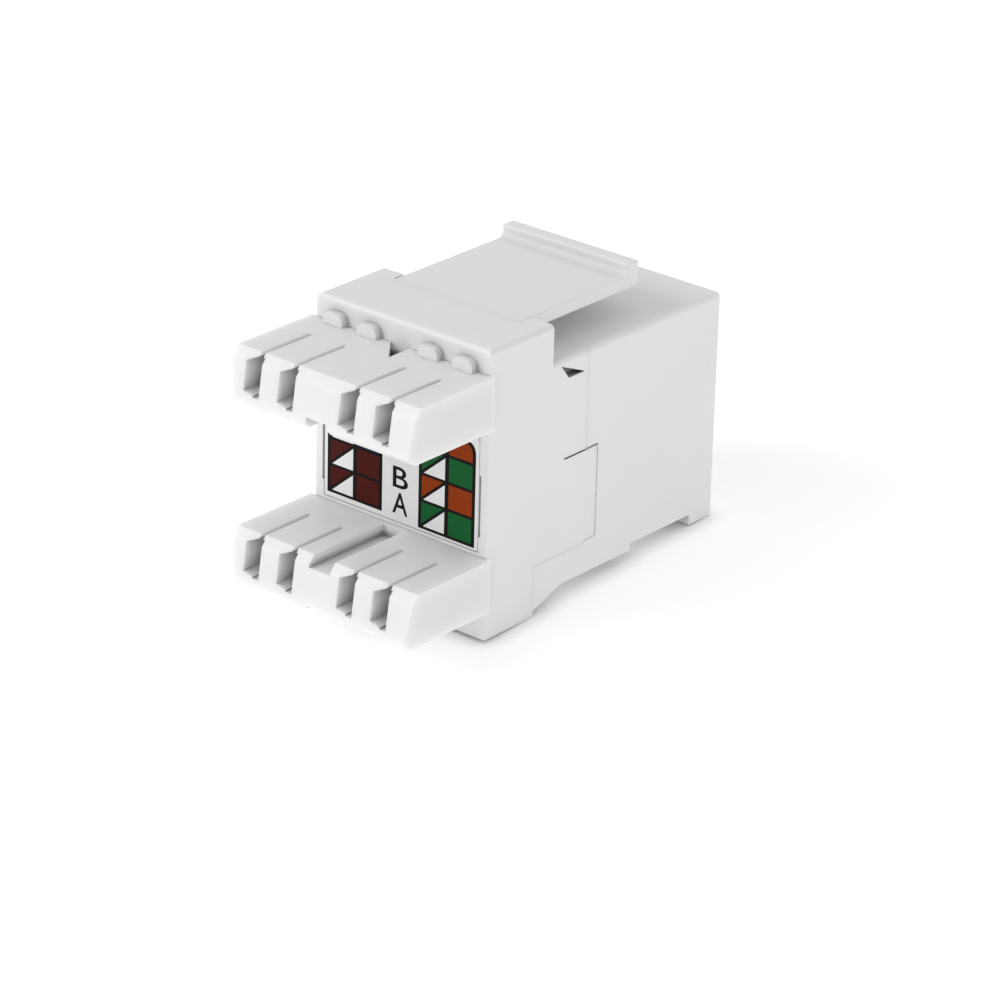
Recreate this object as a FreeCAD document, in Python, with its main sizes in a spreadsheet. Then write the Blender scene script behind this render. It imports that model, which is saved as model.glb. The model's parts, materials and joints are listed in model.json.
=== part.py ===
import FreeCAD, Part
import math
import os
import re
import Sketcher
from FreeCAD import Vector

# Keystone jack: an eight-way modular socket that snaps into a wall plate or a patch panel.
# Millimetres. X runs across the jack, Y from the front face (Y = 0) back to the wire
# terminals, Z up. The origin is the centre of the front face.

DIMENSIONS = [
    # alias, value, meaning
    ("face_width", 14.5, "width of the front face and of the housing behind it"),
    ("face_height", 16.0, "height of the front face"),
    ("shell_wall", 1.2, "thickness of the housing's side walls"),
    ("edge_round", 0.35, "rounding of the housing's long outer edges"),
    ("lip_length", 2.3, "fixed lip under the front, which hooks the panel"),
    ("groove_depth", 0.75, "depth of the panel groove behind the lip"),
    ("groove_end", 8.55, "back end of the panel groove"),
    ("sill_step", 0.25, "how far the sill behind the groove lies above the lip"),
    ("sill_end", 15.7, "where the sill starts to slope down to the foot"),
    ("joint_face", 13.5, "plane where the front housing meets the rear cap"),
    ("tray_end", 18.45, "back end of the front housing's floor tray"),
    ("tray_height", 2.45, "height of the tray's sides above the lip"),
    ("tray_floor", 1.1, "thickness of the tray's floor"),
    ("foot_drop", 1.1, "how far the foot hangs below the lip"),
    ("cap_end", 23.2, "rear face of the cap"),
    ("cap_wall", 1.3, "thickness of the cap's rear wall"),
    ("roof_rise", 2.65, "height of the raised roof above the front face's top"),
    ("roof_start", 17.1, "front of the raised roof, where the latch arm grows out"),
    ("roof_wall", 1.1, "thickness of the roof and of the foot's floor"),
    ("port_width", 11.9, "width of the plug port"),
    ("port_height", 6.8, "height of the plug port"),
    ("port_ceiling", 3.4, "top of the plug port above the face's centre"),
    ("port_depth", 12.4, "depth of the plug port"),
    ("tab_width", 6.4, "width of the slot for the plug's tab"),
    ("tab_height", 1.6, "height of the slot for the plug's tab"),
    ("tip_width", 4.0, "width of the deeper slot for the tab's tip"),
    ("tip_height", 0.9, "height of the deeper slot for the tab's tip"),
    ("bay_width", 11.2, "width of the bay above the port that holds the contact carrier"),
    ("bay_height", 2.7, "height of the contact carrier's bay"),
    ("bay_start", 1.5, "front wall of the contact carrier's bay"),
    ("tongue_rise", 9.0, "top of the snap tongue above the lip"),
    ("tongue_foot", 2.65, "bottom of the snap tongue above the lip"),
    ("tongue_tip", 12.4, "front end of the snap tongue"),
    ("tongue_root", 15.7, "back end of the slit above the snap tongue"),
    ("tongue_gap", 0.12, "slit above and in front of the snap tongue"),
    ("tongue_thick", 0.8, "thickness of the snap tongue"),
    ("seam_gap", 0.05, "running clearance where two mouldings meet sideways"),
    ("arm_width", 10.6, "width of the latch arm"),
    ("arm_thick", 0.9, "thickness of the latch arm"),
    ("arm_tip", 6.3, "front end of the latch arm"),
    ("ridge_length", 1.1, "length of the catch ridge at the arm's tip"),
    ("ridge_height", 0.85, "height of the catch ridge above the arm"),
    ("ridge_fillet", 0.5, "fillet behind the catch ridge"),
    ("notch_back", 0.8, "from the roof's front edge to the notch in the cap's side"),
    ("notch_front", 3.2, "from the roof's front edge to the notch's pointed front end"),
    ("notch_top", 0.4, "from the housing's top down to the notch"),
    ("notch_drop", 1.0, "height of the notch in the cap's side"),
    ("notch_depth", 0.6, "depth of the notch in the cap's side"),
    ("root_length", 0.9, "how far the arm's root reaches into the roof"),
    ("root_gap", 0.04, "clearance round the arm's root"),
    ("row_overhang", 0.4, "how far a terminal row stands out past each side of the cap"),
    ("row_height", 3.6, "height of a terminal row"),
    ("row_end", 31.0, "rear end of a terminal row"),
    ("row_drop", 1.6, "from the cap's roof down to the upper row"),
    ("row_lift", 2.1, "from the foot up to the lower row"),
    ("row_plug", 0.7, "how far a terminal row plugs into the cap's rear wall"),
    ("plug_inset", 0.6, "how far the plug of a row is set in from the row's outline"),
    ("row_corner", 0.7, "rounding of a row's outer rear corners"),
    ("tooth_chamfer", 0.4, "chamfer along the lower rear edge of the teeth"),
    ("tooth_lean", 0.4, "how far the teeth's rear faces lean forward to the top"),
    ("bevel_length", 0.5, "length of the bevel on top of the teeth's rear end"),
    ("bevel_height", 0.6, "height of the bevel on top of the teeth's rear end"),
    ("slot_margin", 1.84, "from the cap's side to the outer wire slots"),
    ("slot_pitch", 2.86, "distance between the two wire slots of a pair"),
    ("slot_width", 0.36, "width of a wire slot"),
    ("slot_length", 5.3, "length of a wire slot"),
    ("mouth_width", 1.35, "width of a wire slot's mouth at the rear"),
    ("mouth_ease", 0.15, "how far the mouth is wider than the slot on its narrow side"),
    ("mouth_depth", 2.2, "depth of a wire slot's mouth"),
    ("mouth_top", 0.25, "from the row's top down to the mouth at the slot"),
    ("mouth_shoulder", 0.62, "from the row's top down to the mouth on its wide side"),
    ("mouth_floor", 0.75, "plastic left below the slot and its mouth"),
    ("mouth_rise", 0.27, "how much higher the mouth's floor lies on its wide side"),
    ("middle_groove", 1.8, "width of the groove along the middle tooth"),
    ("middle_shift", 0.15, "how far the groove and the drain well lie off the middle"),
    ("inner_groove_depth", 0.75, "depth of the middle groove on the side facing the label"),
    ("outer_groove_depth", 0.35, "depth of the groove under the lower row's middle tooth"),
    ("groove_root", 0.4, "plastic left between the middle groove and the cap"),
    ("blade_width", 1.9, "width of a terminal blade"),
    ("blade_thick", 0.4, "thickness of a terminal blade"),
    ("blade_end", 28.4, "rear end of a terminal blade"),
    ("blade_slit", 0.24, "width of the slit that cuts the wire's insulation"),
    ("slit_depth", 3.0, "depth of the blade's slit"),
    ("blade_entry", 0.9, "width of the blade's V-shaped entry"),
    ("blade_fit", 0.05, "clearance round a blade"),
    ("pin_width", 0.6, "width of a blade's pin in the circuit board"),
    ("board_face", 19.8, "front face of the circuit board"),
    ("board_thick", 1.6, "thickness of the circuit board"),
    ("board_fit", 0.15, "clearance between the circuit board and the cap's inside"),
    ("pin_reach", 0.25, "how far pins stand out of the circuit board"),
    ("pin_fit", 0.05, "clearance of a pin in its hole"),
    ("carrier_fit", 0.1, "clearance round the contact carrier"),
    ("carrier_thick", 1.7, "thickness of the contact carrier and its combs"),
    ("contact_pitch", 1.016, "distance between the contact springs"),
    ("contact_wire", 0.4, "thickness of a contact's square wire"),
    ("contact_slot", 0.56, "width of the carrier's slot for a spring"),
    ("slot_floor", 0.03, "clearance between a spring and the floor of its slot"),
    ("bend_gap", 12.0, "angle left free on the nose between a spring and its lead"),
    ("spring_reach", 7.0, "length of a contact spring's straight arm"),
    ("spring_slope", 22.5, "angle at which a contact spring hangs down"),
    ("card_thick", 0.3, "thickness of the wiring label"),
    ("card_margin", 0.75, "from the cap's side to the card"),
    ("card_row_gap", 0.25, "between the card and the terminal rows"),
    ("card_corner", 1.0, "rounding of the wiring label's upper corners"),
    ("card_gap", 0.05, "clearance round the wiring label in its recess"),
    ("pry_width", 0.2, "width of the pry slots on both sides of the wiring label"),
    ("pry_height", 4.2, "height of the pry slots"),
    ("pry_depth", 0.95, "depth of the pry slots"),
    ("rib_width", 1.6, "width of a guide rib above the upper row"),
    ("rib_round", 0.5, "rounding of a guide rib's top"),
    ("rib_depth", 0.6, "how far a guide rib stands out of the cap"),
    ("rib_height", 0.8, "height of a guide rib above the upper row"),
    ("well_width", 1.7, "width of the drain well at the root of the middle tooth"),
    ("well_length", 2.1, "length of the drain well at the root of the middle tooth"),
]

document = FreeCAD.newDocument("keystone_jack")
sheet = document.addObject("Spreadsheet::Sheet", "Dims")
for row, (alias, value, meaning) in enumerate(DIMENSIONS, 1):
    sheet.set("A%d" % row, meaning)
    sheet.set("B%d" % row, str(value))
    sheet.setAlias("B%d" % row, alias)
document.recompute()

# Levels and planes that several pieces share, as expressions of the driving dimensions.
TOP = "face_height / 2"
BOTTOM = "(-face_height / 2)"
ROOF = "(face_height / 2 + roof_rise)"
FOOT = "(-face_height / 2 - foot_drop)"
TRAY_RIM = "(-face_height / 2 + tray_height)"
TRAY_TOP = "(-face_height / 2 + sill_step + tray_floor)"
INSIDE = "(face_width / 2 - shell_wall)"
WALL_FACE = "(cap_end - cap_wall)"
CAVITY_FLOOR = "(-face_height / 2 - foot_drop + roof_wall)"
CAVITY_ROOF = "(face_height / 2 + roof_rise - roof_wall)"
ARM_UNDER = "(face_height / 2 + roof_rise - arm_thick)"
ROOT_RADIUS = "sqrt(arm_thick ^ 2 + root_length ^ 2)"
PORT_FLOOR = "(port_ceiling - port_height)"
BAY_ROOF = "(port_ceiling + bay_height)"
ROW_FRONT = "(cap_end - row_plug)"
SHOULDER = "(cap_end - cap_wall + blade_fit)"
PLUG_HALF = "(face_width / 2 + row_overhang - plug_inset)"
NOSE_RADIUS = "carrier_thick / 2"
NOSE_Y = "(bay_start + carrier_fit + carrier_thick / 2)"
NOSE_Z = "(port_ceiling + bay_height - carrier_fit - carrier_thick / 2)"
CORE_RADIUS = "(carrier_thick / 2 - contact_wire - slot_floor)"
WIRE_RADIUS = "(carrier_thick / 2 - contact_wire / 2)"
CARRIER_UNDER = "(port_ceiling + bay_height - carrier_fit - carrier_thick)"
ROW_WIDTH = "(face_width + 2 * row_overhang)"
ROWS = {
    "lower": "(-face_height / 2 - foot_drop + row_lift + row_height / 2)",
    "upper": "(face_height / 2 + roof_rise - row_drop - row_height / 2)",
}
SLOT_OUTER = "(face_width / 2 - slot_margin)"
SLOT_INNER = "(face_width / 2 - slot_margin - slot_pitch)"
SLOTS = ("-" + SLOT_OUTER, "-" + SLOT_INNER, SLOT_INNER, SLOT_OUTER)
CARD_WIDTH = "(face_width - 2 * card_margin)"
CARD_FOOT = "(-face_height / 2 - foot_drop + row_lift + row_height + card_row_gap)"
CARD_TOP = "(face_height / 2 + roof_rise - row_drop - row_height - card_row_gap)"
CONTACTS = range(8)
FUNCTIONS = ("sqrt", "sin", "cos", "tan")


def bound(text):
    """Turn plain dimension names into references to the sheet's cells."""
    def cell(word):
        name = word.group(0)
        return name if name in FUNCTIONS else "Dims." + name
    return re.sub(r"[a-z][a-z_]*", cell, text)


def new_body(label):
    body = document.addObject("PartDesign::Body", label)
    body.Label = label
    return body


def new_sketch(body, name, role, offset="0"):
    """A sketch on one of the body's own origin planes, moved along the plane's normal."""
    sketch = body.newObject("Sketcher::SketchObject", name)
    plane = next(item for item in body.Origin.OriginFeatures if item.Role == role)
    sketch.AttachmentSupport = [(plane, "")]
    sketch.MapMode = "FlatFace"
    sketch.setExpression("AttachmentOffset.Base.z", bound(offset))
    return sketch


def pin(sketch, item, point, across, up, start=Vector(1, 1, 0)):
    """Fix one point of the sketch at a pair of dimension expressions.

    The start is where the point lies already: an outline with an arc only solves from nearby.
    """
    for kind, text, number in (("DistanceX", across, start.x), ("DistanceY", up, start.y)):
        if text is not None:
            index = sketch.addConstraint(Sketcher.Constraint(kind, -1, 1, item, point, number))
            sketch.setExpression("Constraints[%d]" % index, bound(text))


def polygon(sketch, corners):
    """A closed outline through corners given as pairs of dimension expressions."""
    first = sketch.GeometryCount
    total = len(corners)
    for index in range(total):
        sketch.addGeometry(Part.LineSegment(Vector(index, 0, 0), Vector(index + 1, 1, 0)))
    for index, (across, up) in enumerate(corners):
        following = first + (index + 1) % total
        sketch.addConstraint(Sketcher.Constraint("Coincident", first + index, 2, following, 1))
        pin(sketch, first + index, 1, across, up)


def rectangle(sketch, left, right, low, high):
    polygon(sketch, [(left, low), (right, low), (right, high), (left, high)])


def circle(sketch, across, up, radius):
    index = sketch.addGeometry(Part.Circle(Vector(0, 0, 0), Vector(0, 0, 1), 1.0))
    pin(sketch, index, 3, across, up)
    limit = sketch.addConstraint(Sketcher.Constraint("Radius", index, 1.0))
    sketch.setExpression("Constraints[%d]" % limit, bound(radius))


def extrude(kind, sketch, length, symmetric, reverse):
    body = sketch.getParentGeoFeatureGroup()
    feature = body.newObject("PartDesign::" + kind, sketch.Name + "_" + kind.lower())
    feature.Profile = sketch
    feature.setExpression("Length", bound(length))
    feature.SideType = "Symmetric" if symmetric else "One side"
    feature.Reversed = reverse
    return feature


def pad(sketch, length, symmetric=False, reverse=False):
    return extrude("Pad", sketch, length, symmetric, reverse)


def pocket(sketch, length, symmetric=False, reverse=False):
    return extrude("Pocket", sketch, length, symmetric, reverse)


def dress(kind, body, name, size, chosen):
    """Fillet or chamfer the edges of the body's present shape that the test picks."""
    document.recompute()
    base = body.Tip
    names = []
    for index, edge in enumerate(base.Shape.Edges, 1):
        if chosen(edge):
            names.append("Edge%d" % index)
    feature = body.newObject("PartDesign::" + kind, name)
    feature.Base = (base, names)
    feature.setExpression("Radius" if kind == "Fillet" else "Size", bound(size))
    return feature


def value(alias):
    return getattr(sheet, alias)


def along(edge, axis):
    """Whether a straight edge runs along an axis (0, 1 or 2)."""
    if edge.Curve.TypeId != "Part::GeomLine":
        return False
    direction = edge.Curve.Direction
    return abs(abs(direction[axis]) - 1) < 1e-6


def near(number, target):
    return abs(number - target) < 1e-4


def front_housing():
    """Front moulding: face, plug port, fixed lip, panel groove and the tray behind."""
    body = new_body("front_housing")
    side = new_sketch(body, "front_side_view", "YZ_Plane")
    polygon(side, [
        ("0", BOTTOM),
        ("lip_length", BOTTOM),
        ("lip_length", BOTTOM + " + groove_depth"),
        ("groove_end", BOTTOM + " + groove_depth"),
        ("groove_end", BOTTOM + " + sill_step"),
        ("sill_end", BOTTOM + " + sill_step"),
        ("tray_end", FOOT + " + edge_round"),
        ("tray_end", TRAY_RIM),
        ("joint_face", TRAY_RIM),
        ("joint_face", TOP),
        ("0", TOP),
    ])
    pad(side, "face_width", symmetric=True)
    port = new_sketch(body, "front_port", "XZ_Plane")
    polygon(port, [
        ("-port_width / 2", "port_ceiling"),
        ("-port_width / 2", PORT_FLOOR),
        ("-tab_width / 2", PORT_FLOOR),
        ("-tab_width / 2", PORT_FLOOR + " - tab_height"),
        ("-tip_width / 2", PORT_FLOOR + " - tab_height"),
        ("-tip_width / 2", PORT_FLOOR + " - tab_height - tip_height"),
        ("tip_width / 2", PORT_FLOOR + " - tab_height - tip_height"),
        ("tip_width / 2", PORT_FLOOR + " - tab_height"),
        ("tab_width / 2", PORT_FLOOR + " - tab_height"),
        ("tab_width / 2", PORT_FLOOR),
        ("port_width / 2", PORT_FLOOR),
        ("port_width / 2", "port_ceiling"),
    ])
    pocket(port, "port_depth")
    bay = new_sketch(body, "front_bay", "XZ_Plane", "-bay_start")
    rectangle(bay, "-bay_width / 2", "bay_width / 2", PORT_FLOOR, BAY_ROOF)
    pocket(bay, "port_depth - bay_start")
    passage = new_sketch(body, "front_passage", "XZ_Plane", "-port_depth")
    rectangle(passage, "-bay_width / 2", "bay_width / 2", CARRIER_UNDER + " - seam_gap", BAY_ROOF)
    pocket(passage, "joint_face - port_depth")
    tray = new_sketch(body, "front_tray", "YZ_Plane")
    rectangle(tray, "joint_face", "tray_end", TRAY_TOP, TRAY_RIM)
    pocket(tray, "face_width - 2 * shell_wall", symmetric=True)
    for name, plane in (("front_snap_left", "-face_width / 2"), ("front_snap_right", "face_width / 2")):
        seat = new_sketch(body, name, "YZ_Plane", plane)
        rectangle(seat, "tongue_tip - tongue_gap", "joint_face",
                  BOTTOM + " + tongue_foot - seam_gap", BOTTOM + " + tongue_rise + tongue_gap")
        pocket(seat, "2 * (tongue_thick + seam_gap)", symmetric=True)
    side_x = value("face_width") / 2
    top_z = value("face_height") / 2
    return dress("Fillet", body, "front_long_edges", "edge_round", lambda edge: (
        along(edge, 1)
        and near(abs(edge.CenterOfMass.x), side_x)
        and near(edge.CenterOfMass.z, top_z)))


def rear_cap():
    """Rear moulding: raised roof, foot, side walls with snap tongues, and the wall at the back."""
    body = new_body("rear_cap")
    side = new_sketch(body, "cap_side_view", "YZ_Plane")
    polygon(side, [
        ("joint_face", TRAY_RIM),
        ("tray_end", TRAY_RIM),
        ("tray_end", FOOT),
        ("cap_end", FOOT),
        ("cap_end", ROOF),
        ("roof_start", ROOF),
        ("roof_start", TOP),
        ("joint_face", TOP),
    ])
    pad(side, "face_width", symmetric=True)
    cavity = new_sketch(body, "cap_cavity", "YZ_Plane")
    polygon(cavity, [
        ("joint_face", TRAY_RIM),
        ("tray_end", TRAY_RIM),
        ("tray_end", TRAY_TOP),
        ("tray_end + shell_wall", TRAY_TOP),
        ("tray_end + shell_wall", CAVITY_FLOOR),
        (WALL_FACE, CAVITY_FLOOR),
        (WALL_FACE, CAVITY_ROOF),
        ("roof_start + 2 * shell_wall", CAVITY_ROOF),
        ("roof_start + 2 * shell_wall", TOP + " - roof_wall"),
        ("joint_face", TOP + " - roof_wall"),
    ])
    pocket(cavity, "face_width - 2 * shell_wall", symmetric=True)
    latch_seat(body)
    row_seats(body)
    card_recess(body)
    snap_tongues(body)
    side_notches(body)
    guide_ribs(body)
    side_x = value("face_width") / 2
    roof_z = value("face_height") / 2 + value("roof_rise")
    top_z = value("face_height") / 2
    return dress("Fillet", body, "cap_long_edges", "edge_round", lambda edge: (
        (along(edge, 1) and near(abs(edge.CenterOfMass.x), side_x)
         and (near(edge.CenterOfMass.z, roof_z) or near(edge.CenterOfMass.z, top_z)))
        or (along(edge, 0) and near(edge.CenterOfMass.y, value("cap_end"))
            and near(edge.CenterOfMass.z, roof_z))))


def latch_seat(body):
    """Round seat in the roof's front edge for the root of the latch arm."""
    seat = new_sketch(body, "cap_latch_seat", "YZ_Plane")
    under_z = value("face_height") / 2 + value("roof_rise") - value("arm_thick")
    centre = Vector(value("roof_start"), under_z, 0)
    radius = (value("arm_thick") ** 2 + value("root_length") ** 2) ** 0.5
    across = Vector(centre.x + radius, centre.y, 0)
    above = Vector(centre.x, centre.y + radius, 0)
    bottom = seat.addGeometry(Part.LineSegment(centre, across))
    arc = seat.addGeometry(Part.ArcOfCircle(Part.Circle(centre, Vector(0, 0, 1), radius), 0, 1.5707963))
    front = seat.addGeometry(Part.LineSegment(above, centre))
    for first, end, second, start in ((bottom, 2, arc, 1), (arc, 2, front, 1), (front, 2, bottom, 1)):
        seat.addConstraint(Sketcher.Constraint("Coincident", first, end, second, start))
    seat.addConstraint(Sketcher.Constraint("Coincident", arc, 3, bottom, 1))
    seat.addConstraint(Sketcher.Constraint("Horizontal", bottom))
    seat.addConstraint(Sketcher.Constraint("Vertical", front))
    pin(seat, bottom, 1, "roof_start", ARM_UNDER, centre)
    limit = seat.addConstraint(Sketcher.Constraint("Radius", arc, radius))
    seat.setExpression("Constraints[%d]" % limit, bound(ROOT_RADIUS + " + root_gap"))
    pocket(seat, "arm_width + 2 * seam_gap", symmetric=True)


def row_seats(body):
    """Seats for the plugs of both terminal rows, and the windows that their blades pass."""
    seats = new_sketch(body, "cap_row_seats", "XZ_Plane", "-" + ROW_FRONT)
    half = "(row_height / 2 - plug_inset + seam_gap)"
    for level in ROWS.values():
        rectangle(seats, "-%s - seam_gap" % PLUG_HALF, "%s + seam_gap" % PLUG_HALF,
                  "%s - %s" % (level, half), "%s + %s" % (level, half))
    pocket(seats, "row_plug")
    windows = new_sketch(body, "cap_blade_windows", "XZ_Plane", "-" + WALL_FACE)
    for level in ROWS.values():
        blade_section(windows, level)
    pocket(windows, "cap_wall - row_plug")


def blade_section(sketch, level):
    """One rectangle round each of a row's four blades."""
    for slot in SLOTS:
        rectangle(sketch, slot + " - blade_width / 2 - blade_fit", slot + " + blade_width / 2 + blade_fit",
                  level + " - blade_thick / 2 - blade_fit", level + " + blade_thick / 2 + blade_fit")


def card_recess(body):
    """Shallow recess for the wiring label, with a slot on each side to pry it out."""
    recess = new_sketch(body, "cap_card_recess", "XZ_Plane", "card_thick - cap_end")
    rectangle(recess, "-%s / 2 - card_gap" % CARD_WIDTH, CARD_WIDTH + " / 2 + card_gap",
              CARD_FOOT + " - card_gap", CARD_TOP + " + card_gap")
    pocket(recess, "card_thick")
    slots = new_sketch(body, "cap_pry_slots", "XZ_Plane", "pry_depth - cap_end")
    edge = CARD_WIDTH + " / 2"
    for inner, outer in ((edge, edge + " + pry_width"), ("-" + edge, "-%s - pry_width" % edge)):
        rectangle(slots, inner, outer, "-pry_height / 2", "pry_height / 2")
    pocket(slots, "pry_depth")


def snap_tongues(body):
    """A tongue on each side that snaps into the front housing, freed by a slit above it."""
    for name, plane in (("cap_tongue_left", "-face_width / 2"),
                        ("cap_tongue_right", "face_width / 2 - tongue_thick")):
        tongue = new_sketch(body, name, "YZ_Plane", plane)
        rectangle(tongue, "tongue_tip", "joint_face", BOTTOM + " + tongue_foot", BOTTOM + " + tongue_rise")
        pad(tongue, "tongue_thick")
    slit = new_sketch(body, "cap_tongue_slits", "YZ_Plane")
    rectangle(slit, "joint_face", "tongue_root", BOTTOM + " + tongue_rise",
              BOTTOM + " + tongue_rise + tongue_gap")
    pocket(slit, "face_width", symmetric=True)


def side_notches(body):
    """Small pointed notch in each side of the cap, below the front of its roof."""
    for name, plane in (("cap_notch_left", "-face_width / 2"), ("cap_notch_right", "face_width / 2")):
        notch = new_sketch(body, name, "YZ_Plane", plane)
        polygon(notch, [
            ("roof_start - notch_back", TOP + " - notch_top"),
            ("roof_start - notch_front", TOP + " - notch_top - notch_drop"),
            ("roof_start - 2 * notch_back", TOP + " - notch_top - notch_drop"),
        ])
        pocket(notch, "2 * notch_depth", symmetric=True)


def guide_ribs(body):
    """Short ribs on the rear face above the upper row, one over each wire slot."""
    ribs = new_sketch(body, "cap_guide_ribs", "XZ_Plane", "-cap_end")
    base = "%s + row_height / 2" % ROWS["upper"]
    for slot in SLOTS:
        rectangle(ribs, slot + " - rib_width / 2", slot + " + rib_width / 2", base, base + " + rib_height")
    pad(ribs, "rib_depth", reverse=True)
    top_z = value("face_height") / 2 + value("roof_rise") - value("row_drop") + value("rib_height")
    dress("Fillet", body, "cap_rib_tops", "rib_round", lambda edge: (
        along(edge, 1) and edge.CenterOfMass.y > value("cap_end") and near(edge.CenterOfMass.z, top_z)))


def latch_arm():
    """Springy arm over the housing with the catch ridge that holds the panel."""
    body = new_body("latch_arm")
    side = new_sketch(body, "arm_side_view", "YZ_Plane")
    corners = [
        ("arm_tip", ROOF + " + ridge_height"),
        ("arm_tip", ARM_UNDER),
        (None, ARM_UNDER),
        ("roof_start + root_length", ROOF),
        ("arm_tip + ridge_length", ROOF),
        ("arm_tip + ridge_length", ROOF + " + ridge_height"),
    ]
    under_z = value("face_height") / 2 + value("roof_rise") - value("arm_thick")
    centre = Vector(value("roof_start"), under_z, 0)
    radius = (value("arm_thick") ** 2 + value("root_length") ** 2) ** 0.5
    roof_z = centre.y + value("arm_thick")
    ridge_y = value("arm_tip") + value("ridge_length")
    ridge_z = roof_z + value("ridge_height")
    guess = [
        Vector(value("arm_tip"), ridge_z, 0),
        Vector(value("arm_tip"), centre.y, 0),
        Vector(centre.x + radius, centre.y, 0),
        Vector(centre.x + value("root_length"), roof_z, 0),
        Vector(ridge_y, roof_z, 0),
        Vector(ridge_y, ridge_z, 0),
    ]
    total = len(corners)
    bend = 2
    for index in range(total):
        if index == bend:
            turn = Part.Circle(centre, Vector(0, 0, 1), radius)
            side.addGeometry(Part.ArcOfCircle(turn, 0, 0.7853982))
        else:
            side.addGeometry(Part.LineSegment(guess[index], guess[(index + 1) % total]))
    for index, (across, up) in enumerate(corners):
        following = (index + 1) % total
        side.addConstraint(Sketcher.Constraint("Coincident", index, 2, following, 1))
        pin(side, index, 1, across, up, guess[index])
    pin(side, bend, 3, "roof_start", ARM_UNDER, centre)
    pad(side, "arm_width", symmetric=True)
    return dress("Fillet", body, "arm_ridge_fillet", "ridge_fillet", lambda edge: (
        along(edge, 0) and near(edge.CenterOfMass.y, ridge_y) and near(edge.CenterOfMass.z, roof_z)))


def terminal_row(name):
    """One moulded row of five teeth with four wire slots between them."""
    level = ROWS[name]
    over = "%s + row_height / 2" % level
    under = "%s - row_height / 2" % level
    body = new_body("terminal_row_" + name)
    plan = new_sketch(body, name + "_plan", "XY_Plane", under)
    rectangle(plan, "-%s / 2" % ROW_WIDTH, ROW_WIDTH + " / 2", "cap_end", "row_end")
    pad(plan, "row_height")
    dress("Chamfer", body, name + "_rear_chamfer", "tooth_chamfer", lambda edge: (
        along(edge, 0) and near(edge.CenterOfMass.y, value("row_end"))
        and near(edge.CenterOfMass.z, plan.Placement.Base.z)))
    corner_x = value("face_width") / 2 + value("row_overhang")
    dress("Fillet", body, name + "_corners", "row_corner", lambda edge: (
        along(edge, 2) and near(abs(edge.CenterOfMass.x), corner_x)
        and near(edge.CenterOfMass.y, value("row_end"))))
    rear = new_sketch(body, name + "_rear_face", "YZ_Plane")
    polygon(rear, [
        ("row_end", under + " + tooth_chamfer"),
        ("row_end - tooth_lean", over + " - bevel_height"),
        ("row_end - tooth_lean - bevel_length", over),
        ("row_end", over),
    ])
    pocket(rear, ROW_WIDTH, symmetric=True)
    plug = new_sketch(body, name + "_plug", "XY_Plane", under + " + plug_inset")
    rectangle(plug, "-" + PLUG_HALF, PLUG_HALF, ROW_FRONT, "cap_end")
    pad(plug, "row_height - 2 * plug_inset")
    slots = new_sketch(body, name + "_slots", "XY_Plane", over)
    for slot in SLOTS:
        rectangle(slots, slot + " - slot_width / 2", slot + " + slot_width / 2",
                  "row_end - slot_length", "row_end")
    pocket(slots, "row_height - mouth_floor")
    mouths = new_sketch(body, name + "_mouths", "XZ_Plane", "mouth_depth - row_end")
    for slot in SLOTS:
        flank = slot + " - slot_width / 2 - mouth_ease"
        polygon(mouths, [
            (flank, under + " + mouth_floor"),
            (flank + " + mouth_width", under + " + mouth_floor + mouth_rise"),
            (flank + " + mouth_width", over + " - mouth_shoulder"),
            (slot + " + slot_width / 2", over + " - mouth_top"),
            (flank, over + " - mouth_top"),
        ])
    pocket(mouths, "mouth_depth")
    middle_grooves(body, name, over, under)
    blades = new_sketch(body, name + "_blade_pockets", "XZ_Plane", "-" + ROW_FRONT)
    blade_section(blades, level)
    pocket(blades, "blade_end + blade_fit - " + ROW_FRONT)
    if name == "upper":
        drain_well(body, over)


def middle_grooves(body, name, over, under):
    """Grooves along the middle tooth: one facing the label, and one under the lower row."""
    grooves = {"upper": [(under + " + inner_groove_depth", "inner_groove_depth")],
               "lower": [(over, "inner_groove_depth"),
                         (under + " + outer_groove_depth", "outer_groove_depth")]}[name]
    for number, (plane, depth) in enumerate(grooves, 1):
        groove = new_sketch(body, "%s_groove_%d" % (name, number), "XY_Plane", plane)
        rectangle(groove, "middle_shift - middle_groove / 2", "middle_shift + middle_groove / 2",
                  "cap_end + groove_root", "row_end")
        pocket(groove, depth)


def drain_well(body, over):
    """Three-cornered well at the root of the upper row's middle tooth."""
    well = new_sketch(body, "upper_well", "XY_Plane", over)
    polygon(well, [
        ("middle_shift - well_width / 2", "cap_end"),
        ("middle_shift + well_width / 2", "cap_end"),
        ("middle_shift - well_width / 2", "cap_end + well_length"),
    ])
    pocket(well, "row_height - inner_groove_depth")


def terminal_blade(number, slot, level):
    """Forked blade that cuts through a wire's insulation, with a pin for the circuit board."""
    body = new_body("terminal_blade_%d" % number)
    plan = new_sketch(body, "blade_%d_plan" % number, "XY_Plane")
    left = [
        ("-pin_width / 2", "board_face - pin_reach"),
        ("-pin_width / 2", SHOULDER),
        ("-blade_width / 2", SHOULDER),
        ("-blade_width / 2", "blade_end"),
        ("-blade_entry / 2", "blade_end"),
        ("-blade_slit / 2", "blade_end - blade_entry"),
        ("-blade_slit / 2", "blade_end - slit_depth"),
    ]
    right = [(across[1:], up) for across, up in reversed(left)]
    polygon(plan, left + right)
    pad(plan, "blade_thick", symmetric=True)
    body.setExpression("Placement.Base.x", bound(slot))
    body.setExpression("Placement.Base.z", bound(level))


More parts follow.
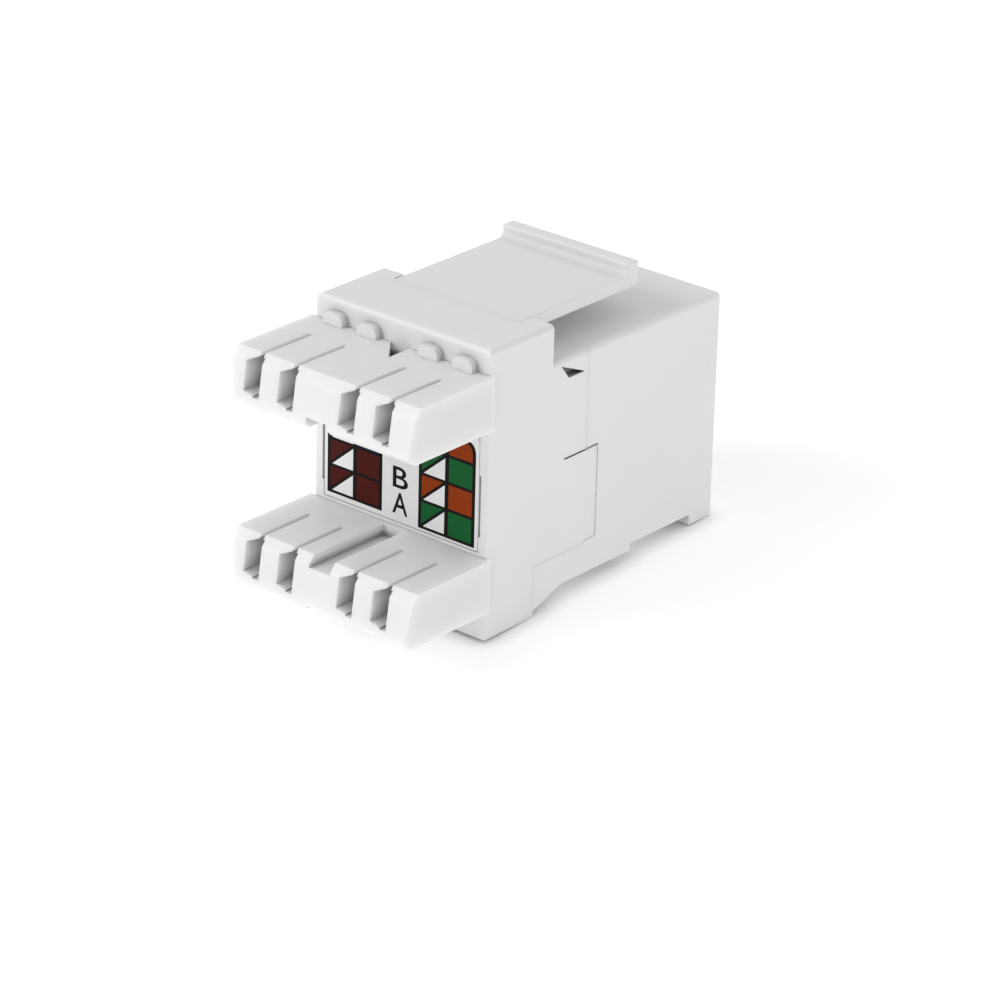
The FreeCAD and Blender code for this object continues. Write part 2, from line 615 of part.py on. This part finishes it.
def circuit_board():
    """Board that joins the contact leads to the terminal blades."""
    body = new_body("circuit_board")
    outline = new_sketch(body, "board_outline", "XZ_Plane", "-board_face")
    half = INSIDE + " - board_fit"
    rectangle(outline, "-(%s)" % half, half, CAVITY_FLOOR + " + board_fit", CAVITY_ROOF + " - board_fit")
    pad(outline, "board_thick", reverse=True)
    holes = new_sketch(body, "board_blade_holes", "XZ_Plane", "-board_face")
    for level in ROWS.values():
        for slot in SLOTS:
            circle(holes, slot, level, "sqrt(pin_width ^ 2 + blade_thick ^ 2) / 2 + pin_fit")
    pocket(holes, "board_thick")
    leads = new_sketch(body, "board_lead_holes", "XZ_Plane", "-board_face")
    for number in CONTACTS:
        circle(leads, contact_x(number), NOSE_Z + " + " + WIRE_RADIUS, "contact_wire / sqrt(2) + pin_fit")
    pocket(leads, "board_thick")


def contact_x(number):
    """Place of one contact across the jack."""
    return "(%.1f * contact_pitch)" % (number - 3.5)


def contact_carrier():
    """Comb that holds the eight contact wires apart and guides them round its nose."""
    body = new_body("contact_carrier")
    half_width = "(bay_width / 2 - carrier_fit)"
    core = new_sketch(body, "carrier_core", "YZ_Plane")
    rectangle(core, NOSE_Y, "board_face - carrier_fit", NOSE_Z + " - " + CORE_RADIUS,
              NOSE_Z + " + " + CORE_RADIUS)
    pad(core, "2 * " + half_width, symmetric=True)
    core_nose = new_sketch(body, "carrier_core_nose", "YZ_Plane")
    circle(core_nose, NOSE_Y, NOSE_Z, CORE_RADIUS)
    pad(core_nose, "2 * " + half_width, symmetric=True)
    comb_width = "(contact_pitch - contact_slot)"
    combs = [("carrier_comb_%d" % number, "(%d * contact_pitch)" % (number - 4), comb_width)
             for number in range(1, 8)]
    outer = "(%s - 3.5 * contact_pitch - contact_slot / 2)" % half_width
    combs.append(("carrier_cheek_left", "(-%s + %s / 2)" % (half_width, outer), outer))
    combs.append(("carrier_cheek_right", "(%s - %s / 2)" % (half_width, outer), outer))
    for name, middle, width in combs:
        comb = new_sketch(body, name, "YZ_Plane", middle)
        rectangle(comb, NOSE_Y, "board_face - carrier_fit", NOSE_Z + " - " + NOSE_RADIUS,
                  NOSE_Z + " + " + NOSE_RADIUS)
        pad(comb, width, symmetric=True)
        nose = new_sketch(body, name + "_nose", "YZ_Plane", middle)
        circle(nose, NOSE_Y, NOSE_Z, NOSE_RADIUS)
        pad(nose, width, symmetric=True)


def nose_bend(sketch, from_angle, to_angle, first, last_level):
    """Arc of a contact wire's middle line round the carrier's nose.

    The angles, in degrees up from the back, say roughly where it runs. The first end, a pair of
    dimension expressions, and the level of the last end say exactly.
    """
    centre = Vector(value("bay_start") + value("carrier_fit") + value("carrier_thick") / 2,
                    value("port_ceiling") + value("bay_height") - value("carrier_fit")
                    - value("carrier_thick") / 2, 0)
    radius = (value("carrier_thick") - value("contact_wire")) / 2
    turn = Part.Circle(centre, Vector(0, 0, 1), radius)
    bend = sketch.addGeometry(Part.ArcOfCircle(turn, math.radians(from_angle), math.radians(to_angle)))
    pin(sketch, bend, 3, NOSE_Y, NOSE_Z, centre)
    for point, angle, (across, up) in ((1, from_angle, first), (2, to_angle, (None, last_level))):
        turned = Vector(math.cos(math.radians(angle)), math.sin(math.radians(angle)), 0)
        pin(sketch, bend, point, across, up, centre + turned * radius)
    return bend


def sweep(body, section, path):
    """Sweep a square wire section along a path."""
    pipe = body.newObject("PartDesign::AdditivePipe", section.Name + "_sweep")
    pipe.Profile = section
    pipe.Spine = path


def contact_spring(number):
    """Springy wire that bears on a plug's contact: a bend round the nose and a straight arm."""
    body = new_body("contact_spring_%d" % (number + 1))
    path = new_sketch(body, "spring_%d_path" % (number + 1), "YZ_Plane")
    arm_start = NOSE_Z + " - " + WIRE_RADIUS + " * cos(spring_slope)"
    front = NOSE_Y + " - " + WIRE_RADIUS
    bend = nose_bend(path, 180, 270 - value("spring_slope"), (front, NOSE_Z), arm_start)
    arm = path.addGeometry(Part.LineSegment(Vector(0, 0, 0), Vector(1, 1, 0)))
    path.addConstraint(Sketcher.Constraint("Coincident", arm, 1, bend, 2))
    pin(path, arm, 2,
        NOSE_Y + " - " + WIRE_RADIUS + " * sin(spring_slope) + spring_reach * cos(spring_slope)",
        arm_start + " - spring_reach * sin(spring_slope)")
    section = new_sketch(body, "spring_%d_section" % (number + 1), "XY_Plane", NOSE_Z)
    rectangle(section, "-contact_wire / 2", "contact_wire / 2",
              front + " - contact_wire / 2", front + " + contact_wire / 2")
    sweep(body, section, path)
    body.setExpression("Placement.Base.x", bound(contact_x(number)))


def contact_lead(number):
    """Fixed end of a contact wire, from the nose along the carrier and through the board."""
    body = new_body("contact_lead_%d" % (number + 1))
    end = "(board_face + board_thick + pin_reach)"
    level = NOSE_Z + " + " + WIRE_RADIUS
    path = new_sketch(body, "lead_%d_path" % (number + 1), "YZ_Plane")
    bend = nose_bend(path, 90, 180 - value("bend_gap"), (NOSE_Y, level),
                     NOSE_Z + " + " + WIRE_RADIUS + " * sin(bend_gap)")
    straight = path.addGeometry(Part.LineSegment(Vector(1, 1, 0), Vector(0, 0, 0)))
    path.addConstraint(Sketcher.Constraint("Coincident", straight, 2, bend, 1))
    pin(path, straight, 1, end, level)
    section = new_sketch(body, "lead_%d_section" % (number + 1), "XZ_Plane", "-" + end)
    rectangle(section, "-contact_wire / 2", "contact_wire / 2",
              level + " - contact_wire / 2", level + " + contact_wire / 2")
    sweep(body, section, path)
    body.setExpression("Placement.Base.x", bound(contact_x(number)))


def wiring_label():
    """Card behind the terminals that shows the wiring colours."""
    body = new_body("wiring_label")
    card = new_sketch(body, "label_card", "XZ_Plane", "card_thick - cap_end")
    rectangle(card, "-%s / 2" % CARD_WIDTH, CARD_WIDTH + " / 2", CARD_FOOT, CARD_TOP)
    pad(card, "card_thick", reverse=True)
    edge_x = value("face_width") / 2 - value("card_margin")
    return dress("Fillet", body, "label_corners", "card_corner", lambda edge: (
        along(edge, 1) and near(abs(edge.CenterOfMass.x), edge_x) and edge.CenterOfMass.z > 0))


def build():
    front_housing()
    rear_cap()
    latch_arm()
    wiring_label()
    circuit_board()
    contact_carrier()
    number = 0
    for name, level in ROWS.items():
        terminal_row(name)
        for slot in SLOTS:
            number += 1
            terminal_blade(number, slot, level)
    for number in CONTACTS:
        contact_spring(number)
        contact_lead(number)
    document.recompute()


def sub_parts():
    return [item for item in document.Objects if item.TypeId == "PartDesign::Body"]


def check():
    """Stop before anything is written if a feature failed or a shape is not sound."""
    for item in document.Objects:
        if "Invalid" in item.State or "Error" in item.State:
            raise RuntimeError("feature failed: " + item.Name)
    for item in sub_parts():
        if item.Shape.isNull() or not item.Shape.isValid():
            raise RuntimeError("shape is not sound: " + item.Label)


def export():
    os.makedirs("parts", exist_ok=True)
    for item in sub_parts():
        item.Shape.exportStep("parts/%s.step" % item.Label)


build()
check()
export()
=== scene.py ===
import json
import math

import bmesh
import bpy
from mathutils import Matrix, Vector


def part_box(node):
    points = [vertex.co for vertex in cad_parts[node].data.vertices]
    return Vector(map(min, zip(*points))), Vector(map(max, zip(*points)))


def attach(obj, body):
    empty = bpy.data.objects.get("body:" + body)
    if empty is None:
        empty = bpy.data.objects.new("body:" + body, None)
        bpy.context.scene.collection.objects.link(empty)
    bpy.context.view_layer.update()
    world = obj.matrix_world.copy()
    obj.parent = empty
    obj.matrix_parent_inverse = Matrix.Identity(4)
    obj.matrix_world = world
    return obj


# Keystone jack on a plain pale floor. Metres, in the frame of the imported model:
# X across the jack, Y from the front face back to the terminals, Z up.

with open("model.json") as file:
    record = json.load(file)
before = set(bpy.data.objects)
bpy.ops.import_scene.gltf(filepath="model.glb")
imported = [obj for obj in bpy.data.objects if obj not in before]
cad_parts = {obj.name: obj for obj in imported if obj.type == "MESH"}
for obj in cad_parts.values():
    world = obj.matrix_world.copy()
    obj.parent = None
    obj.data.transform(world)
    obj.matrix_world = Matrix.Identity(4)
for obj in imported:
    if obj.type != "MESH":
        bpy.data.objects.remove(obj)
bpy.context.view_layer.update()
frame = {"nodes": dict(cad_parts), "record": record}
MM = 0.001

# The camera stands behind the jack, to the left of its terminals and above them.
CAMERA_PLACE = Vector((-0.1677, 0.21456, 0.11255))
CAMERA_AZIMUTH = 219.8
CAMERA_ELEVATION = 24.13
CAMERA_ROLL = 1.5
CAMERA_LENS = 157.9

# Colours as linear red, green and blue.
WHITE_PLASTIC = (0.82, 0.82, 0.81)
# The rows' plastic is the white plastic painted a little darker, as painted shade.
ROW_PLASTIC_SHADED = (0.80, 0.80, 0.79)
CARRIER_PLASTIC = (0.75, 0.75, 0.73)
CARD_WHITE = (0.82, 0.82, 0.82)
BOARD_GREEN = (0.02, 0.11, 0.04)
GOLD = (0.83, 0.62, 0.28)
TIN = (0.66, 0.66, 0.64)
INK = (0.006, 0.005, 0.005)
PRINT_COLOURS = {
    "green": (0.006, 0.110, 0.026),
    "orange": (0.275, 0.037, 0.001),
    "brown": (0.064, 0.006, 0.004),
    "blue": (0.004, 0.020, 0.110),
}
FLOOR_WHITES = (0.93, 0.93, 0.93), (0.95, 0.95, 0.95)

# Roughness of each surface, and how much of the light that the plastics take in comes out again.
PLASTIC_ROUGHNESS = 0.42
CARRIER_ROUGHNESS = 0.45
GOLD_ROUGHNESS = 0.22
TIN_ROUGHNESS = 0.3
PLASTIC_GLOW = 0.15
ROW_GLOW = 0.8
GLOW_REACH = 1.0 * MM

# Painted shade in deep corners of the plastics: how far a wall may stand, the darkest tone, and how
# far under a rim the painted shade starts and is complete.
PAINTED_SHADE_REACH = 1.2 * MM
PAINTED_SHADE_TONE = 0.22
PAINTED_SHADE_RIM_FADE = (0.35 * MM, 1.0 * MM)


# Materials

def new_material(name):
    """A material with its node tree, its shader and object coordinates."""
    material = bpy.data.materials.new(name)
    material.use_nodes = True
    nodes = material.node_tree.nodes
    shader = nodes["Principled BSDF"]
    coordinates = nodes.new("ShaderNodeTexCoord")
    return material, shader, coordinates.outputs["Object"]


def link(material, source, target):
    material.node_tree.links.new(source, target)


def noise(material, place, scale, detail):
    """A noise pattern with its grain size given as patterns per metre."""
    node = material.node_tree.nodes.new("ShaderNodeTexNoise")
    node.inputs["Scale"].default_value = scale
    node.inputs["Detail"].default_value = detail
    link(material, place, node.inputs["Vector"])
    return node.outputs["Fac"]


def between(material, factor, low, high):
    """Map a 0 to 1 pattern to a range of numbers."""
    node = material.node_tree.nodes.new("ShaderNodeMapRange")
    node.inputs["To Min"].default_value = low
    node.inputs["To Max"].default_value = high
    link(material, factor, node.inputs["Value"])
    return node.outputs["Result"]


def tinted(material, factor, dark, light):
    """A colour that wanders between two tones."""
    node = material.node_tree.nodes.new("ShaderNodeMix")
    node.data_type = "RGBA"
    node.inputs["A"].default_value = (*dark, 1)
    node.inputs["B"].default_value = (*light, 1)
    link(material, factor, node.inputs["Factor"])
    return node.outputs["Result"]


def bumped(material, shader, height, strength, distance):
    node = material.node_tree.nodes.new("ShaderNodeBump")
    node.inputs["Strength"].default_value = strength
    node.inputs["Distance"].default_value = distance
    link(material, height, node.inputs["Height"])
    link(material, node.outputs["Normal"], shader.inputs["Normal"])


def shade(colour, factor):
    return tuple(channel * factor for channel in colour)


def multiplied(material, colour, tone):
    node = material.node_tree.nodes.new("ShaderNodeMix")
    node.data_type = "RGBA"
    node.blend_type = "MULTIPLY"
    node.inputs["Factor"].default_value = 1.0
    link(material, colour, node.inputs["A"])
    link(material, tone, node.inputs["B"])
    return node.outputs["Result"]


def sky_share(material, reach, alone):
    """How open each point lies, 0 to 1; alone, only the piece's own shape stands in the way."""
    # This openness masks the painted shade in corners and the painted shadow on the floor.
    node = material.node_tree.nodes.new("ShaderNodeAmbientOcclusion")
    node.inputs["Distance"].default_value = reach
    node.samples = 4
    node.only_local = alone
    return node.outputs["AO"]


def painted_crease_shade(material, place, colour, rim):
    """The colour with painted shade, darker deep in slots and corners of the piece itself.

    With a rim height given, the painted shade starts a little below it.
    """
    # Painted shade: the colour is darkened where the piece's own walls stand close.
    tone = between(material, sky_share(material, PAINTED_SHADE_REACH, True), PAINTED_SHADE_TONE, 1.0)
    tone.node.interpolation_type = "SMOOTHSTEP"
    if rim is not None:
        parts = material.node_tree.nodes.new("ShaderNodeSeparateXYZ")
        link(material, place, parts.inputs["Vector"])
        # Near the rim the painted shade fades out.
        unshaded_near_rim = between(material, parts.outputs["Z"], 0.0, 1.0)
        unshaded_near_rim.node.inputs["From Min"].default_value = rim - PAINTED_SHADE_RIM_FADE[1]
        unshaded_near_rim.node.inputs["From Max"].default_value = rim - PAINTED_SHADE_RIM_FADE[0]
        lighter = material.node_tree.nodes.new("ShaderNodeMath")
        lighter.operation = "MAXIMUM"
        link(material, tone, lighter.inputs[0])
        link(material, unshaded_near_rim, lighter.inputs[1])
        tone = lighter.outputs["Value"]
    return multiplied(material, colour, tone)


def moulded_plastic(name, colour, roughness, glow=PLASTIC_GLOW, rim=None):
    """Satin moulded plastic: faint flow marks, a fine spark-eroded grain, some light inside, and
    painted shade in its corners.
    """
    material, shader, place = new_material(name)
    flow = noise(material, place, 160, 2)
    grain = noise(material, place, 9000, 3)
    tint = tinted(material, flow, shade(colour, 0.97), shade(colour, 1.02))
    # The base colour carries painted shade in slots and corners.
    link(material, painted_crease_shade(material, place, tint, rim), shader.inputs["Base Color"])
    link(material, between(material, flow, roughness - 0.05, roughness + 0.06),
         shader.inputs["Roughness"])
    shader.inputs["Subsurface Weight"].default_value = glow
    shader.inputs["Subsurface Radius"].default_value = (1.0, 1.0, 1.0)
    shader.inputs["Subsurface Scale"].default_value = GLOW_REACH
    shader.inputs["IOR"].default_value = 1.5
    bumped(material, shader, grain, 0.12, 0.01 * MM)
    return material


def printed_ink(name, colour):
    """Flat matt print on card, slightly uneven where the ink lies thin."""
    material, shader, place = new_material(name)
    shader.inputs["Specular IOR Level"].default_value = 0.12
    mottle = noise(material, place, 3500, 4)
    link(material, tinted(material, mottle, shade(colour, 0.88), shade(colour, 1.12)),
         shader.inputs["Base Color"])
    link(material, between(material, mottle, 0.6, 0.75), shader.inputs["Roughness"])
    return material


def card(name, colour):
    """Coated card with faint fibres."""
    material, shader, place = new_material(name)
    fibres = noise(material, place, 5200, 5)
    link(material, tinted(material, fibres, shade(colour, 0.97), shade(colour, 1.02)),
         shader.inputs["Base Color"])
    link(material, between(material, fibres, 0.4, 0.5), shader.inputs["Roughness"])
    bumped(material, shader, fibres, 0.1, 0.006 * MM)
    return material


def plated_metal(name, colour, roughness):
    """Plated contact metal with fine drawing marks along its length."""
    material, shader, place = new_material(name)
    stretch = material.node_tree.nodes.new("ShaderNodeMapping")
    stretch.inputs["Scale"].default_value = (1.0, 0.06, 1.0)
    link(material, place, stretch.inputs["Vector"])
    marks = noise(material, stretch.outputs["Vector"], 16000, 3)
    link(material, tinted(material, marks, shade(colour, 0.9), shade(colour, 1.05)),
         shader.inputs["Base Color"])
    link(material, between(material, marks, roughness - 0.06, roughness + 0.1),
         shader.inputs["Roughness"])
    shader.inputs["Metallic"].default_value = 1.0
    bumped(material, shader, marks, 0.15, 0.004 * MM)
    return material


def solder_mask(name, colour):
    """Green lacquer of a circuit board over the weave of its glass cloth."""
    material, shader, place = new_material(name)
    weave = noise(material, place, 2600, 2)
    link(material, tinted(material, weave, shade(colour, 0.85), shade(colour, 1.15)),
         shader.inputs["Base Color"])
    link(material, between(material, weave, 0.25, 0.4), shader.inputs["Roughness"])
    bumped(material, shader, weave, 0.2, 0.01 * MM)
    return material


MATERIALS = {
    "white_plastic": moulded_plastic("white_plastic", WHITE_PLASTIC, PLASTIC_ROUGHNESS),
    "carrier_plastic": moulded_plastic("carrier_plastic", CARRIER_PLASTIC, CARRIER_ROUGHNESS),
    "label_card": card("label_card", CARD_WHITE),
    "board_green": solder_mask("board_green", BOARD_GREEN),
    "contact_gold": plated_metal("contact_gold", GOLD, GOLD_ROUGHNESS),
    "blade_tin": plated_metal("blade_tin", TIN, TIN_ROUGHNESS),
}
ROW_MATERIALS = {
    name: moulded_plastic(name + "_plastic", ROW_PLASTIC_SHADED, PLASTIC_ROUGHNESS, ROW_GLOW,
                          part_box(name)[1].z)
    for name in ("terminal_row_upper", "terminal_row_lower")
}
INK_MATERIAL = printed_ink("print_black", INK)
PRINT = {name: printed_ink("print_" + name, colour) for name, colour in PRINT_COLOURS.items()}


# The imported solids

EDGE_ROUNDING = {"white_plastic": 0.12 * MM, "carrier_plastic": 0.05 * MM, "label_card": 0.03 * MM}
MERGE_DISTANCE = 0.0005 * MM
FLAT_ANGLE = math.radians(1.0)
SHARP_ANGLE = math.radians(40)


def dress_nodes():
    """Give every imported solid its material, and the plastic ones softly rounded edges."""
    slots = {part["node"]: part["material_slot"] for part in frame["record"]["subparts"]}
    for name, node in frame["nodes"].items():
        node.data.materials.clear()
        node.data.materials.append(ROW_MATERIALS.get(name, MATERIALS[slots[name]]))
        for face in node.data.polygons:
            face.use_smooth = False
        if slots[name] in EDGE_ROUNDING:
            soften(node, EDGE_ROUNDING[slots[name]])


def soften(node, width):
    """Join the faces of a solid, merge the flat ones and round its sharp edges a little."""
    weld = node.modifiers.new("weld", "WELD")
    weld.merge_threshold = MERGE_DISTANCE
    flat = node.modifiers.new("flat", "DECIMATE")
    flat.decimate_type = "DISSOLVE"
    flat.angle_limit = FLAT_ANGLE
    bevel = node.modifiers.new("round", "BEVEL")
    bevel.width = width
    bevel.segments = 2
    bevel.limit_method = "ANGLE"
    bevel.angle_limit = SHARP_ANGLE
    bevel.harden_normals = True
    bevel.use_clamp_overlap = True


# Print on the wiring label: two blocks of four rows, each row the colours of one pair of wires.
# Heights are measured from the foot of the card, columns from its middle.

PRINT_THICKNESS = 0.004 * MM
LINE_WIDTH = 0.2 * MM
UPRIGHT_WIDTH = 0.32 * MM
CHART_FOOT = {"right": 0.27 * MM, "left": 0.43 * MM}
CHART_TOP = 7.25 * MM
ROW_PITCH = 1.85 * MM
COLUMN_INNER = 1.64 * MM
COLUMN_MIDDLE = 3.88 * MM
COLUMN_OUTER = 6.14 * MM
CHART_CORNER = 0.75 * MM
CURVE_STEPS = 6
CHART_ROWS = {
    "right": (-1, ("green", "orange", "green", "orange")),
    "left": (1, ("brown", "brown", "blue", "blue")),
}
LETTER_WIDTH = 1.28 * MM
LETTER_WEIGHT = 0.008
LETTER_EXTRUSION = 0.5
LETTERS = {"A": (0.56 * MM, 2.06 * MM), "B": (2.36 * MM, 3.82 * MM)}


def rounded(corners, index, radius):
    """The outline with one of its corners turned into a curve."""
    corner = Vector(corners[index])
    toward = [(Vector(corners[(index + step) % len(corners)]) - corner).normalized()
              for step in (-1, 1)]
    start, end = (corner + direction * radius for direction in toward)
    curve = []
    for step in range(CURVE_STEPS + 1):
        part = step / CURVE_STEPS
        curve.append((1 - part) ** 2 * start + 2 * part * (1 - part) * corner + part ** 2 * end)
    return [*corners[:index], *curve, *corners[index + 1:]]


def print_piece(name, corners, level, material):
    """A thin printed field, its corners given as places across and up the label."""
    sheet = bmesh.new()
    face = sheet.faces.new([sheet.verts.new((across, level, up)) for across, up in corners])
    grown = bmesh.ops.extrude_face_region(sheet, geom=[face])["geom"]
    bmesh.ops.translate(sheet, vec=(0, PRINT_THICKNESS, 0),
                        verts=[item for item in grown if isinstance(item, bmesh.types.BMVert)])
    bmesh.ops.recalc_face_normals(sheet, faces=sheet.faces)
    mesh = bpy.data.meshes.new(name)
    sheet.to_mesh(mesh)
    sheet.free()
    add_print(name, mesh, material)


def add_print(name, mesh, material):
    mesh.materials.append(material)
    piece = bpy.data.objects.new(name, mesh)
    bpy.context.collection.objects.link(piece)
    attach(piece, "jack")


def split_cell(name, left, right, low, high, level, material, corner):
    """A cell cut by a diagonal: printed above it, bare card below it."""
    slope = math.hypot(right - left, high - low)
    across = LINE_WIDTH / 2 * slope / (high - low)
    up = LINE_WIDTH / 2 * slope / abs(right - left)
    side = math.copysign(across, left - right)
    field = [(left, high), (right + side, high), (left, low + up)]
    if corner:
        field = rounded(field, 0, CHART_CORNER)
    print_piece(name + "_upper", field, level, material)
    print_piece(name + "_lower", [(right, low), (right, high - up), (left - side, low)], level,
                MATERIALS["label_card"])


def wiring_chart():
    """Both blocks: a black field, and on it the cells, which leave black lines between them."""
    low_corner, high_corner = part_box("wiring_label")
    level = high_corner.y
    half = LINE_WIDTH / 2
    upright = UPRIGHT_WIDTH / 2
    top = low_corner.z + CHART_TOP
    for block, (side, colours) in CHART_ROWS.items():
        foot = low_corner.z + CHART_FOOT[block]
        edges = sorted((side * COLUMN_INNER, side * COLUMN_MIDDLE, side * COLUMN_OUTER), reverse=True)
        left, middle, right = edges
        outline = [(left + half, foot - half), (left + half, top + half),
                   (right - half, top + half), (right - half, foot - half)]
        outer = 2 if side < 0 else 1
        print_piece("print_lines_" + block, rounded(outline, outer, CHART_CORNER + half), level,
                    INK_MATERIAL)
        for number, colour in enumerate(colours):
            low = foot + number * ROW_PITCH + half
            high = min(foot + (number + 1) * ROW_PITCH, top) - half
            last = number == len(colours) - 1
            name = "print_%s_%d" % (block, number + 1)
            split_cell(name, left - upright, middle + upright, low, high, level + PRINT_THICKNESS,
                       PRINT[colour], last and side > 0)
            field = [(middle - upright, low), (middle - upright, high),
                     (right + upright, high), (right + upright, low)]
            if last and side < 0:
                field = rounded(field, 2, CHART_CORNER)
            print_piece(name + "_full", field, level + PRINT_THICKNESS, PRINT[colour])


def wiring_letters():
    """The letters of the two wiring orders, between the blocks, to be read from behind."""
    low_corner, high_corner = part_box("wiring_label")
    for character, (low, high) in LETTERS.items():
        curve = bpy.data.curves.new("letter_" + character, "FONT")
        curve.body = character
        curve.offset = LETTER_WEIGHT
        curve.extrude = LETTER_EXTRUSION
        text = bpy.data.objects.new("letter_" + character, curve)
        bpy.context.collection.objects.link(text)
        shaped = text.evaluated_get(bpy.context.evaluated_depsgraph_get())
        mesh = bpy.data.meshes.new_from_object(shaped)
        bpy.data.objects.remove(text)
        places = [vertex.co.copy() for vertex in mesh.vertices]
        left, right = min(place.x for place in places), max(place.x for place in places)
        foot, top = min(place.y for place in places), max(place.y for place in places)
        for vertex, place in zip(mesh.vertices, places):
            across = ((left + right) / 2 - place.x) / (right - left) * LETTER_WIDTH
            up = low_corner.z + low + (place.y - foot) / (top - foot) * (high - low)
            vertex.co = (across, high_corner.y + (place.z + LETTER_EXTRUSION) * PRINT_THICKNESS, up)
        add_print("print_letter_" + character, mesh, INK_MATERIAL)


wiring_chart()
wiring_letters()
dress_nodes()


# Camera, light and floor

SENSOR_WIDTH = 36
CLIP_NEAR, CLIP_FAR = 0.01, 10
FLOOR_SIZE = 4.0
FOOT_RISE = 0.75 * MM
# The floor's glow, and the painted shadow under the jack: its darkest tone and its reach.
FLOOR_GLOW = 0.33
PAINTED_SHADOW_TONE = 0.65
PAINTED_SHADOW_REACH = 1.5 * MM
SKY_STRENGTH = 0.69
KEY_PLACE = (0.25, 0.35, 0.30)
KEY_TARGET = (0, 0.015, 0)
KEY_SIZE = 0.25
KEY_POWER = 0.8


def place_camera():
    azimuth = math.radians(CAMERA_AZIMUTH)
    elevation = math.radians(CAMERA_ELEVATION)
    back = Vector((math.sin(azimuth) * math.cos(elevation),
                   -math.cos(azimuth) * math.cos(elevation),
                   math.sin(elevation)))
    right = (-back).cross(Vector((0, 0, 1))).normalized()
    up = right.cross(-back)
    roll = math.radians(CAMERA_ROLL)
    rolled_right = math.cos(roll) * right + math.sin(roll) * up
    rolled_up = math.cos(roll) * up - math.sin(roll) * right
    data = bpy.data.cameras.new("camera")
    data.sensor_width = SENSOR_WIDTH
    data.lens = CAMERA_LENS
    data.clip_start = CLIP_NEAR
    data.clip_end = CLIP_FAR
    camera = bpy.data.objects.new("camera", data)
    turn = Matrix((rolled_right, rolled_up, back)).transposed().to_4x4()
    camera.matrix_world = Matrix.Translation(CAMERA_PLACE) @ turn
    bpy.context.collection.objects.link(camera)
    bpy.context.scene.camera = camera


def area_light(name, place, target, size, power):
    data = bpy.data.lights.new(name, "AREA")
    data.size = size
    data.energy = power
    light = bpy.data.objects.new(name, data)
    light.location = place
    direction = Vector(target) - Vector(place)
    light.rotation_mode = "QUATERNION"
    light.rotation_quaternion = direction.to_track_quat("-Z", "Y")
    bpy.context.collection.objects.link(light)


def make_floor():
    """The floor touches the lip at the front and the foot at the back, so it leans a little.

    It glows faintly, and its colour and glow are darkened near the jack as a painted shadow.
    """
    lip = Vector((0, 0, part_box("front_housing")[0].z + FOOT_RISE))
    foot = Vector((0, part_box("front_housing")[1].y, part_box("rear_cap")[0].z))
    slope = math.atan2(foot.z - lip.z, foot.y - lip.y)
    mesh = bpy.data.meshes.new("floor")
    half = FLOOR_SIZE / 2
    mesh.from_pydata([(-half, -half, 0), (half, -half, 0), (half, half, 0), (-half, half, 0)],
                     [], [(0, 1, 2, 3)])
    floor = bpy.data.objects.new("floor", mesh)
    floor.matrix_world = Matrix.Translation(foot) @ Matrix.Rotation(slope, 4, "X")
    bpy.context.collection.objects.link(floor)
    material, shader, place = new_material("floor_white")
    mottle = noise(material, place, 40, 2)
    white = tinted(material, mottle, *FLOOR_WHITES)
    # Painted shadow: the floor's colour and glow are darkened where the jack stands close above it.
    painted_shadow_openness = sky_share(material, PAINTED_SHADOW_REACH, False)
    link(material, multiplied(material, white, between(material, painted_shadow_openness, PAINTED_SHADOW_TONE, 1.0)),
         shader.inputs["Base Color"])
    link(material, between(material, painted_shadow_openness, 0.0, FLOOR_GLOW), shader.inputs["Emission Strength"])
    shader.inputs["Roughness"].default_value = 0.9
    shader.inputs["Specular IOR Level"].default_value = 0.1
    shader.inputs["Emission Color"].default_value = (1, 1, 1, 1)
    mesh.materials.append(material)


def light_scene():
    world = bpy.data.worlds.new("studio")
    world.use_nodes = True
    background = world.node_tree.nodes["Background"]
    background.inputs["Color"].default_value = (1, 1, 1, 1)
    background.inputs["Strength"].default_value = SKY_STRENGTH
    bpy.context.scene.world = world
    area_light("key", KEY_PLACE, KEY_TARGET, KEY_SIZE, KEY_POWER)


place_camera()
make_floor()
light_scene()
bpy.context.scene.view_settings.view_transform = "Standard"
